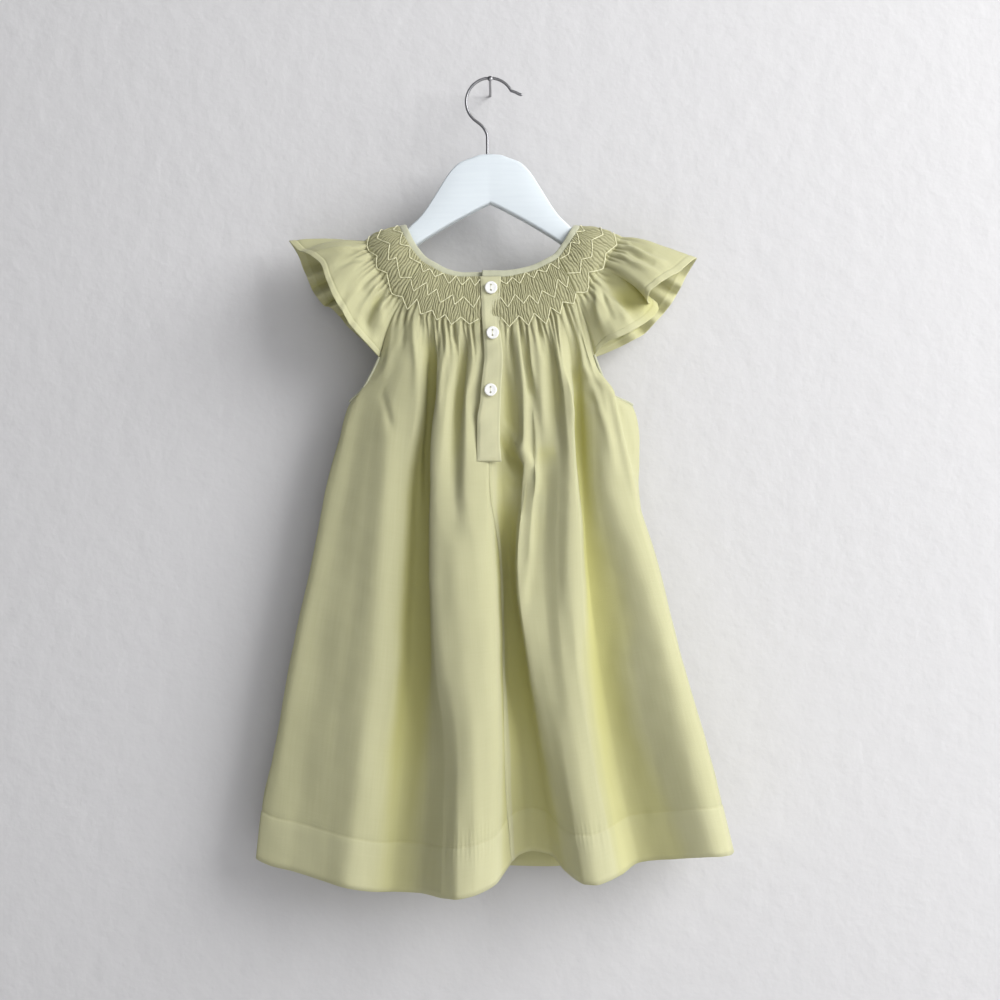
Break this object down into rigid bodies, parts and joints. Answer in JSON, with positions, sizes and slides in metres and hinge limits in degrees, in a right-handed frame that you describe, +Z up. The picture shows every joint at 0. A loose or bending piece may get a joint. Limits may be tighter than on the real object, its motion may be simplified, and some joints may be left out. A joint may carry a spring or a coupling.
{
  "type": "toddler dress on a hanger",
  "caption": "Round-necked smocked toddler dress with fluttering cap sleeves, a buttoned back placket and a wide hem, hung from a small painted wooden hanger by its wire hook.",
  "frame": {"origin": "inside of the hook's bend at its highest point, where the hook rests on a rail or a nail", "axes": "+Z up; +X to the right of someone who looks at the buttons; the buttoned back of the dress faces -Y and its front faces +Y"},
  "size_m": [0.3964, 0.092, 0.6714],
  "materials": {
    "cloth": "fine plain-woven cotton and linen, pale sage green, matt",
    "binding": "bias strip of the same cloth",
    "button": "pearly white, polished",
    "hanger_paint": "white satin paint on wood",
    "steel": "polished wire"
  },
  "bodies": {
    "root": {"back_left": "cloth", "back_right": "cloth", "front": "cloth", "sleeve_left": "cloth", "sleeve_right": "cloth", "neck_binding": "binding", "armhole_binding_left": "binding", "armhole_binding_right": "binding", "placket": "cloth", "button_1": "button", "button_2": "button", "button_3": "button", "hanger_body": "hanger_paint", "hanger_hook": "steel"}
  },
  "joints": []
}
